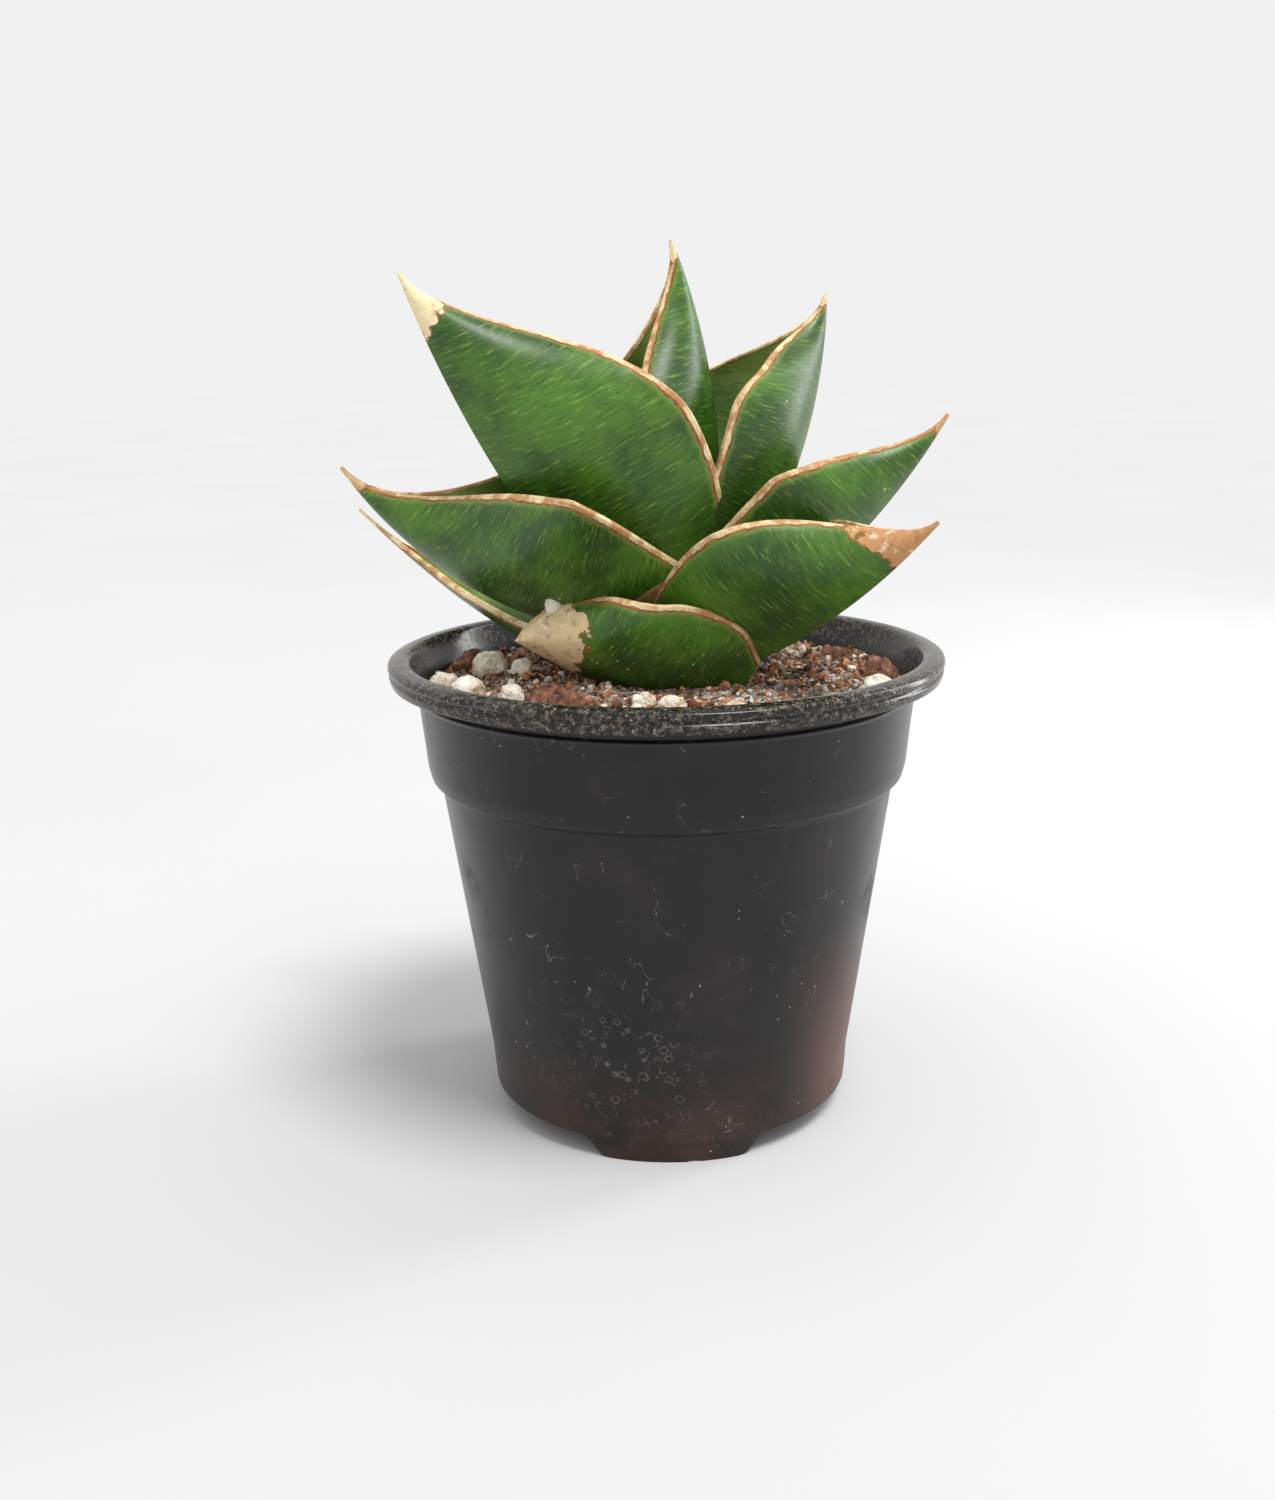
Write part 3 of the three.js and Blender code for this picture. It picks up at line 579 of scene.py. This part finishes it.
    # Soil splashed on the lowest centimetre above the soil.
    height = add(tree, "ShaderNodeSeparateXYZ", {"Vector": where}).outputs["Z"]
    grit = add(tree, "ShaderNodeTexVoronoi", {"Vector": where, "Scale": 1 / (0.9 * MM)})
    grit_draw = add(tree, "ShaderNodeSeparateColor", {"Color": grit.outputs["Color"]}).outputs
    splash = combine("MULTIPLY", between(grit.outputs["Distance"], 0.34, 0.22), between(grit_draw["Red"], 0.66, 0.72))
    splash = combine("MULTIPLY", splash, between(height, 0.097, 0.087))
    splash = combine("MULTIPLY", splash, between(noise_at(where, 1 / (4 * MM), 2), 0.42, 0.55))
    dirt = over(grit_draw["Blue"], linear("#8a6a4c"), linear("#e6d8bd"))
    skin = over(combine("MULTIPLY", splash, 0.85), skin, dirt)
    tree.links.new(skin, shader.inputs["Base Color"])
    dead = combine("MAXIMUM", between(ragged, -0.2, 0.2), between(reach, 1.1, 0.8))
    rough = combine("ADD", between(dead, 0, 1, 0.36, 0.72), between(streaks, 0.3, 0.7, -0.05, 0.07))
    tree.links.new(rough, shader.inputs["Roughness"])
    skin_relief = add(
        tree, "ShaderNodeBump", {"Height": streaks, "Strength": 0.3, "Distance": 0.12 * MM}
    )
    crumple = add(
        tree, "ShaderNodeBump",
        {"Height": noise_at(where, 1 / (1.8 * MM), 4, 0.6), "Strength": combine("MULTIPLY", dead, 0.6),
         "Distance": 0.5 * MM, "Normal": skin_relief.outputs["Normal"]},
    )
    tree.links.new(crumple.outputs["Normal"], shader.inputs["Normal"])
    shader.inputs["IOR"].default_value = 1.45
    return made


leaf_finish = snake_leaf()
leaves = {}
fat_leaves = []
for name, leaf in LEAVES.items():
    piece = settle(leaf_skin(leaf), name.replace("leaf_", "blade_"))
    carved(piece, fat_leaves)
    keep_biggest(piece.data)
    if name != "leaf_centre_upright":
        fat_leaves.append(settle(leaf_skin(leaf, LEAF_GAP, leaf["holds"]), "room_" + name))
    piece.data.shade_smooth()
    piece.data.set_sharp_from_angle(angle=math.radians(50))
    piece.data.materials.clear()
    piece.data.materials.append(leaf_finish)
    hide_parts(name)
    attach(piece, "root")
    leaves[name] = piece
discard(fat_leaves)

# --- Stem ---
# The short pale stock that the leaves clasp, hidden in the soil: its CAD solid stays as it is.


def dry_stem():
    """Dry stem tissue: dull tan with darker rings where old leaves came away."""
    made, tree, shader = finish_named("dry_stem_tissue")
    where = add(tree, "ShaderNodeTexCoord").outputs["Object"]
    rings = add(
        tree, "ShaderNodeTexWave", {"Vector": where, "Scale": 1 / (14 * MM), "Distortion": 3.0},
        bands_direction="Z",
    )
    tone = add(
        tree, "ShaderNodeValToRGB", {"Fac": rings.outputs["Fac"]},
        stops=[(0.3, "#6e5a3a"), (0.8, "#a08a60")],
    )
    tree.links.new(tone.outputs["Color"], shader.inputs["Base Color"])
    shader.inputs["Roughness"].default_value = 0.85
    return made


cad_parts["stem"].data.materials.clear()
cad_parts["stem"].data.materials.append(dry_stem())

# --- Soil ---
# Gritty potting mix filled to a few millimetres under the rim, slightly mounded, with the seats
# of the three outermost leaves pressed into it.
SOIL_LEVEL = 85.0
SOIL_DROP = 2.2
SOIL_EDGE = 45.5


def soil_height(x, y):
    spread = min(math.hypot(x, y) / 48.3, 1)
    mounds = 0.6 * math.sin(0.21 * x + 1.3) * math.cos(0.17 * y)
    mounds += 0.4 * math.sin(0.43 * y + 0.31 * x)
    return SOIL_LEVEL - SOIL_DROP * spread * spread + mounds


def soil_body():
    top = [(SOIL_EDGE * k / 44, 90) for k in range(45)]
    wall = [(45.4, 81.4), (44.2, 69), (41.8, 64.8), (34, 11), (33.7, 6.9), (0, 6.9)]
    bm = turned(top + wall, 150)
    for vert in bm.verts:
        if vert.co.z < 82:
            continue
        x, y = vert.co.xy
        crumbs = 0.7 * noise.noise(vert.co * 0.55) + 0.5 * noise.noise(vert.co * 1.3)
        vert.co.z = soil_height(x, y) + crumbs
    return bm


def potting_mix():
    """Peat, bark dust and grey grit: matt, dark brown to grey-brown, with pale and orange grains."""
    made, tree, shader = finish_named("gritty_potting_mix")
    where = add(tree, "ShaderNodeTexCoord").outputs["Object"]
    cells = add(tree, "ShaderNodeTexVoronoi", {"Vector": where, "Scale": 1 / (0.8 * MM)})
    drawn = add(tree, "ShaderNodeSeparateColor", {"Color": cells.outputs["Color"]}).outputs
    grains = add(
        tree, "ShaderNodeValToRGB", {"Fac": drawn["Red"]},
        stops=[(0.0, "#3a2e27"), (0.3, "#6a5344"), (0.55, "#8f7d70"), (0.78, "#9c6b4b"), (0.9, "#bdb2a6"),
               (1.0, "#d8cdbb")],
    )
    tree.links.new(grains.outputs["Color"], shader.inputs["Base Color"])
    relief = add(
        tree, "ShaderNodeBump",
        {"Height": cells.outputs["Distance"], "Strength": 0.9, "Distance": 0.5 * MM},
    )
    relief.invert = True
    tree.links.new(relief.outputs["Normal"], shader.inputs["Normal"])
    shader.inputs["Roughness"].default_value = 0.92
    return made


soil_rooms = [
    settle(leaf_skin(leaf, LEAF_GAP, (0, 0), 25.0), "soil_room_" + name)
    for name, leaf in list(LEAVES.items())[:3]
]
soil = carved(settle(soil_body(), "potting_soil"), soil_rooms)
discard(soil_rooms)
keep_biggest(soil.data)
soil.data.shade_smooth()
soil.data.materials.clear()
soil.data.materials.append(potting_mix())
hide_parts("soil")
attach(soil, "root")

# --- White stones ---
# Lumps of perlite and pumice lying on the soil: the part's own lumps, rounded and pitted.


def refined(node_name, cuts, name):
    """A copy of a CAD node's own mesh, closed and cut finer."""
    bm = bmesh.new()
    bm.from_mesh(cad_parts[node_name].data)
    bmesh.ops.remove_doubles(bm, verts=bm.verts, dist=1e-6)
    bm.transform(Matrix.Scale(1 / MM, 4) @ Matrix.Translation(-POT_AXIS))
    for _ in range(cuts):
        bmesh.ops.subdivide_edges(bm, edges=bm.edges, cuts=1, use_grid_fill=True, smooth=1.0)
    return bm


def perlite():
    """Expanded volcanic glass: matt white to cream foam, stained tan by the wet mix."""
    made, tree, shader = finish_named("perlite_foam")
    where = add(tree, "ShaderNodeTexCoord").outputs["Object"]
    stain = add(tree, "ShaderNodeTexNoise", {"Vector": where, "Scale": 1 / (3.2 * MM), "Detail": 5.0, "Roughness": 0.65})
    tone = add(
        tree, "ShaderNodeValToRGB", {"Fac": stain.outputs["Fac"]},
        stops=[(0.36, "#b89a7a"), (0.46, "#e3d8c6"), (0.6, "#f3ede0"), (0.75, "#fbf8f1")],
    )
    pits = add(tree, "ShaderNodeTexVoronoi", {"Vector": where, "Scale": 1 / (0.8 * MM)})
    shade = add(
        tree, "ShaderNodeMapRange",
        {"Value": pits.outputs["Distance"], "From Min": 0.05, "From Max": 0.35, "To Min": 0.45, "To Max": 0.0},
    )
    colour = add(
        tree, "ShaderNodeMix", {0: shade.outputs["Result"], 6: tone.outputs["Color"], 7: linear("#a8947c")},
        data_type="RGBA",
    )
    tree.links.new(colour.outputs[2], shader.inputs["Base Color"])
    relief = add(
        tree, "ShaderNodeBump",
        {"Height": pits.outputs["Distance"], "Strength": 0.8, "Distance": 0.35 * MM},
    )
    tree.links.new(relief.outputs["Normal"], shader.inputs["Normal"])
    shader.inputs["Roughness"].default_value = 0.93
    return made


perlite_finish = perlite()
for node_name in sorted(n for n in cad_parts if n.startswith("stone_white")):
    bm = refined(node_name, 2, node_name)
    bmesh.ops.smooth_vert(bm, verts=bm.verts, factor=0.5, use_axis_x=True, use_axis_y=True, use_axis_z=True)
    bm.normal_update()
    for vert in bm.verts:
        dent = 0.45 * noise.noise(vert.co * 0.7) + 0.22 * noise.noise(vert.co * 1.9)
        vert.co += vert.normal * (dent + 0.12)
    stone = settle(bm, "perlite" + node_name.removeprefix("stone_white"))
    stone.data.materials.append(perlite_finish)
    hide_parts(node_name)
    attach(stone, "root")

# --- Bark chips ---
# Flat chips of pine bark lying on the soil: the part's own chips, with worn, fibrous faces.


def pine_bark():
    """Composted pine bark: matt, brown to reddish brown in long fibres."""
    made, tree, shader = finish_named("composted_pine_bark")
    where = add(tree, "ShaderNodeTexCoord").outputs["Object"]
    drawn_out = add(tree, "ShaderNodeMapping", {"Vector": where, "Rotation": (0.3, 0.2, 0.6), "Scale": (1, 0.25, 1)}, vector_type="POINT")
    fibres = add(
        tree, "ShaderNodeTexNoise",
        {"Vector": drawn_out.outputs["Vector"], "Scale": 1 / (1.1 * MM), "Detail": 5.0, "Roughness": 0.65},
    )
    tone = add(
        tree, "ShaderNodeValToRGB", {"Fac": fibres.outputs["Fac"]},
        stops=[(0.34, "#3b241b"), (0.48, "#6b4230"), (0.6, "#8d5f49"), (0.74, "#b98f76")],
    )
    tree.links.new(tone.outputs["Color"], shader.inputs["Base Color"])
    relief = add(tree, "ShaderNodeBump", {"Height": fibres.outputs["Fac"], "Strength": 0.8, "Distance": 0.5 * MM})
    tree.links.new(relief.outputs["Normal"], shader.inputs["Normal"])
    shader.inputs["Roughness"].default_value = 0.9
    return made


bark_finish = pine_bark()
for node_name in sorted(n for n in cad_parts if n.startswith("bark_chip")):
    bm = refined(node_name, 2, node_name)
    bm.normal_update()
    for vert in bm.verts:
        vert.co += vert.normal * (0.5 * noise.noise(vert.co * Vector((0.5, 0.9, 0.9))) + 0.2 * noise.noise(vert.co * 2))
    chip = settle(bm, "pine_" + node_name)
    chip.data.set_sharp_from_angle(angle=math.radians(45))
    chip.data.materials.append(bark_finish)
    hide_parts(node_name)
    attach(chip, "root")

# --- Loose grit ---
# The small grains that lie on the mix: grey and black grit, brown bark crumbs and white perlite
# bits, each a few-sided lump strewn by a fixed draw.


def grit_stone(name, stops, grain_mm):
    """Small mineral or bark grains: matt, each grain of its own tone."""
    made, tree, shader = finish_named(name)
    where = add(tree, "ShaderNodeTexCoord").outputs["Object"]
    tones = add(tree, "ShaderNodeTexVoronoi", {"Vector": where, "Scale": 1 / (grain_mm * MM)})
    drawn = add(tree, "ShaderNodeSeparateColor", {"Color": tones.outputs["Color"]}).outputs
    tone = add(tree, "ShaderNodeValToRGB", {"Fac": drawn["Red"]}, stops=stops)
    tree.links.new(tone.outputs["Color"], shader.inputs["Base Color"])
    shader.inputs["Roughness"].default_value = 0.9
    return made


def nearest_leaf(point):
    """Signed distance in mm from the leaves' skins; below 0 inside a leaf."""
    best = 1e9
    for tree in leaf_trees:
        found, normal, _, distance = tree.find_nearest(point, 0.012)
        if found is not None and distance < abs(best):
            best = distance if (point - found).dot(normal) > 0 else -distance
    return best / MM


leaf_trees = []
for piece in leaves.values():
    leaf_trees.append(BVHTree.FromPolygons([v.co for v in piece.data.vertices], [p.vertices for p in piece.data.polygons]))
soil_tree = BVHTree.FromPolygons([v.co for v in soil.data.vertices], [p.vertices for p in soil.data.polygons])


HANDFUL = 500


def pour(handful, drift):
    """Moves a handful of grains over, because operators slow down in a big mesh."""
    mesh = bpy.data.meshes.new("handful")
    handful.to_mesh(mesh)
    drift.from_mesh(mesh)
    bpy.data.meshes.remove(mesh)
    handful.clear()


def strewn(name, count, sizes, flat, seed, where, finish):
    """Grains strewn over the soil where that place's share allows, sitting a third deep."""
    draw = random.Random(seed)
    drift, handful = bmesh.new(), bmesh.new()
    for _ in range(count):
        distance, angle = SOIL_EDGE * math.sqrt(draw.random()), math.tau * draw.random()
        x, y = distance * math.cos(angle), distance * math.sin(angle)
        size = lerp(*sizes, draw.random() ** 2)
        keep = draw.random()
        turn = Matrix.Rotation(draw.random() * math.tau, 4, Vector((draw.random(), draw.random(), 0.3)))
        if keep > where(x, y) or distance > SOIL_EDGE - size / 3:
            continue
        hit, _, _, _ = soil_tree.ray_cast(POT_AXIS + Vector((x, y, 110)) * MM, Vector((0, 0, -1)))
        if hit is None or hit.z < 0.0815 or nearest_leaf(hit + Vector((0, 0, 0.3 * size * MM))) < 0.45 * size:
            continue
        place = (hit - POT_AXIS) / MM + Vector((0, 0, 0.15 * size))
        shape = Matrix.Translation(place) @ turn @ Matrix.Diagonal((1, lerp(0.6, 0.9, draw.random()), flat, 1))
        grain = bmesh.ops.create_icosphere(handful, subdivisions=1, radius=size / 2, matrix=shape)
        for vert in grain["verts"]:
            vert.co = place + (vert.co - place) * lerp(0.72, 1.12, draw.random())
        if len(handful.verts) > HANDFUL:
            pour(handful, drift)
    pour(handful, drift)
    handful.free()
    grains = settle(drift, name)
    grains.data.shade_flat()
    grains.data.materials.append(finish)
    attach(grains, "root")
    return grains


def right_front(x, y):
    """1 in the drift of grey grit on the right front, 0 away from it."""
    return 1 - smoothstep(math.hypot((x - 27) / 1.5, (y + 27)), 8, 16)


strewn(
    "grey_grit", 3800, (0.5, 1.7), 0.8, 11, lambda x, y: 0.3 + 0.7 * right_front(x, y),
    grit_stone("grey_horticultural_grit", [(0.0, "#4a4645"), (0.4, "#857d78"), (0.75, "#b5aca4"), (0.95, "#e2dacf")], 0.9),
)
strewn(
    "bark_crumbs", 2200, (0.7, 2.8), 0.55, 12, lambda x, y: 0.85 - 0.6 * right_front(x, y),
    grit_stone("bark_crumb", [(0.0, "#3a241b"), (0.4, "#7a4c36"), (0.7, "#a87250"), (0.95, "#cf9568")], 1.6),
)
strewn(
    "perlite_bits", 420, (0.8, 2.6), 0.85, 13, lambda x, y: 0.5 - 0.2 * right_front(x, y),
    perlite_finish,
)

# --- Grain in the torn leaf ---
# One perlite grain that fell into the channel of the short front leaf, behind its torn dry point.
CAUGHT_AT = (-20.5, -11.5)
down = Vector((0, 0, -1))
seat = leaf_trees[1].ray_cast(POT_AXIS + Vector((*CAUGHT_AT, 110)) * MM, down)[0]
bm = bmesh.new()
centre = (seat - POT_AXIS) / MM + Vector((0, 0, 1.5))
oval = Matrix.Translation(centre) @ Matrix.Diagonal((1.6, 1.5, 2.2, 1))
bmesh.ops.create_icosphere(bm, subdivisions=4, radius=1, matrix=oval)
bm.normal_update()
for vert in bm.verts:
    vert.co += vert.normal * 0.3 * noise.noise(vert.co * 0.9)
caught = settle(bm, "caught_perlite_grain")
caught.data.materials.append(perlite_finish)
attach(caught, "root")

# --- Table, light and camera ---
# A plain pale table, a soft high sun with sky light round it, and the photograph's camera.


def pale_table():
    """Matt pale laminate: near white with the faintest unevenness."""
    made, tree, shader = finish_named("pale_laminate")
    where = add(tree, "ShaderNodeTexCoord").outputs["Object"]
    cloud = add(tree, "ShaderNodeTexNoise", {"Vector": where, "Scale": 6.0, "Detail": 3.0})
    tone = add(
        tree, "ShaderNodeValToRGB", {"Fac": cloud.outputs["Fac"]}, stops=[(0.3, "#c5c5c6"), (0.7, "#c8c8c8")],
    )
    tree.links.new(tone.outputs["Color"], shader.inputs["Base Color"])
    shader.inputs["Roughness"].default_value = 0.9
    return made


bm = bmesh.new()
bmesh.ops.create_grid(bm, x_segments=8, y_segments=8, size=9000)
table = settle(bm, "pale_table")
table.data.materials.append(pale_table())

bpy.context.scene.view_settings.view_transform = "Standard"
world = bpy.data.worlds.new("soft_sky")
world.use_nodes = True
bpy.context.scene.world = world
sky = world.node_tree.nodes["Background"]
sky.inputs["Color"].default_value = linear("#f1f1f1")
sky.inputs["Strength"].default_value = 1.0


def lamp(name, kind, place, aim, energy, **settings):
    data = bpy.data.lights.new(name, kind)
    data.energy = energy
    for key, value in settings.items():
        setattr(data, key, value)
    light = bpy.data.objects.new(name, data)
    light.location = place
    light.rotation_euler = (Vector(aim) - Vector(place)).to_track_quat("-Z", "Y").to_euler()
    bpy.context.scene.collection.objects.link(light)


lamp("high_sun", "SUN", (0.28, -0.3, 1.0), (0, 0, 0.08), 2.2, angle=math.radians(22))
lamp("right_strip", "AREA", (0.55, 0.25, 0.25), (0, 0, 0.06), 2.0, shape="RECTANGLE", size=0.12, size_y=0.6)

pitch, roll = math.radians(14.6), math.radians(-0.9)
ahead = Vector((0, math.cos(pitch), -math.sin(pitch)))
above = Vector((0, math.sin(pitch), math.cos(pitch)))
across = Vector((1, 0, 0))
cam_x = across * math.cos(roll) + above * math.sin(roll)
cam_y = above * math.cos(roll) - across * math.sin(roll)
camera = bpy.data.objects.new("camera", bpy.data.cameras.new("camera"))
camera.data.lens = 38.4
camera.data.sensor_width = 36
camera.data.clip_start = 0.01
camera.matrix_world = Matrix.Translation(POT_AXIS + Vector((-5.6, -299.5, 147.4)) * MM) @ Matrix(
    (cam_x, cam_y, -ahead)
).transposed().to_4x4()
bpy.context.scene.collection.objects.link(camera)
bpy.context.scene.camera = camera
